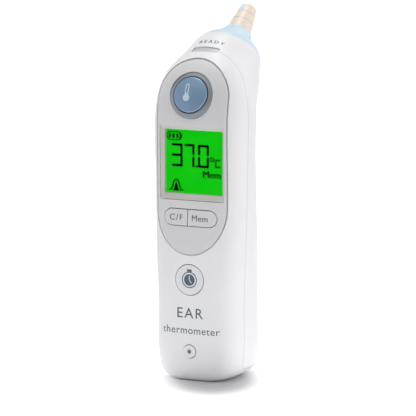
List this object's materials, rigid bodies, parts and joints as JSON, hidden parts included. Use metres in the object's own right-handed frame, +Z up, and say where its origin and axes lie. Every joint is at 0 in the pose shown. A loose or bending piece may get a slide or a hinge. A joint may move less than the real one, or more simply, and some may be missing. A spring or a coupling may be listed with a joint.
{
  "type": "digital ear thermometer",
  "caption": "Upright digital ear thermometer with a backlit display, measure button, keys, angled probe with ejector collar, and a hinged battery door.",
  "frame": {"origin": "centre of the flat base that the thermometer stands on", "axes": "+Z up along the handle, -Y towards the display, +X to the display's right"},
  "size_m": [0.0395, 0.0604, 0.1524],
  "materials": {
    "housing_white": "satin moulded shell",
    "panel_grey": "fine satin faceplate",
    "ring_grey": "satin dished ring",
    "button_blue": "soft satin cap",
    "clear_window": "clear polished window",
    "bezel_grey": "fine texture",
    "display_green": "backlit display glass",
    "diffuser_white": "frosted light guide",
    "elastomer_strip": "layered elastomer",
    "key_grey": "satin keys",
    "key_white": "satin keys",
    "inner_plastic": "as moulded",
    "steel": "drawn and plated",
    "board_green": "solder mask",
    "package_black": "moulded packages",
    "led_clear": "clear resin",
    "light_pipe": "frosted translucent grey",
    "contact_brass": "plated spring plate",
    "cell_wrap": "printed sleeve over a steel can",
    "collar_blue": "glossy pale blue",
    "sleeve_beige": "satin beige",
    "core_white": "as moulded",
    "tip_lens": "dark infrared window",
    "flex_amber": "polyimide film"
  },
  "bodies": {
    "root": {"front_housing": "housing_white", "rear_housing": "housing_white", "control_panel": "panel_grey", "button_ring": "ring_grey", "display_window": "clear_window", "lcd_frame": "bezel_grey", "lcd_panel": "display_green", "lcd_backlight": "diffuser_white", "zebra_strip": "elastomer_strip", "latch_spring": "steel", "main_board": "board_green", "board_chips": "package_black", "tact_switches": "package_black", "buzzer": "package_black", "status_led": "led_clear", "status_light_pipe": "light_pipe", "board_screws": "steel", "case_screws": "steel", "battery_tray": "inner_plastic", "battery_left": "cell_wrap", "battery_right": "cell_wrap", "battery_springs": "steel", "battery_contacts": "contact_brass", "hinge_pin": "steel", "ejector_spring": "steel", "probe_core": "core_white", "probe_sleeves": "sleeve_beige", "probe_bands": "collar_blue", "tip_window": "tip_lens", "wave_guide": "contact_brass", "thermopile_sensor": "steel", "sensor_flex": "flex_amber"},
    "measure_body": {"measure_button": "button_blue"},
    "units_body": {"units_key": "key_grey"},
    "memory_body": {"memory_key": "key_grey"},
    "timer_body": {"timer_button": "key_white"},
    "release_body": {"door_release_button": "key_white", "release_rod": "inner_plastic"},
    "door_body": {"battery_door": "housing_white", "door_latch": "inner_plastic"},
    "ejector_body": {"ejector_collar": "collar_blue", "ejector_link": "inner_plastic", "ejector_slider": "collar_blue"}
  },
  "joints": [
    {"name": "measure_press", "type": "slide", "parent": "root", "child": "measure_body", "axis": [0, 0.9511, -0.309], "range_m": [0, 0.0008], "stiffness_N_per_m": 900},
    {"name": "units_press", "type": "slide", "parent": "root", "child": "units_body", "axis": [0, 1, 0], "range_m": [0, 0.0005], "stiffness_N_per_m": 900},
    {"name": "memory_press", "type": "slide", "parent": "root", "child": "memory_body", "axis": [0, 1, 0], "range_m": [0, 0.0005], "stiffness_N_per_m": 900},
    {"name": "timer_press", "type": "slide", "parent": "root", "child": "timer_body", "axis": [0, 1, 0], "range_m": [0, 0.0005], "stiffness_N_per_m": 900},
    {"name": "release_press", "type": "slide", "parent": "root", "child": "release_body", "axis": [0, 1, 0], "range_m": [0, 0.0012], "stiffness_N_per_m": 500},
    {"name": "door_hinge", "type": "hinge", "parent": "root", "child": "door_body", "pos_m": [0, 0.0142, 0.0715], "axis": [1, 0, 0], "range_deg": [0, 65]},
    {"name": "ejector_slide", "type": "slide", "parent": "root", "child": "ejector_body", "axis": [0, 0.7431, 0.6691], "range_m": [0, 0.003], "stiffness_N_per_m": 400}
  ]
}
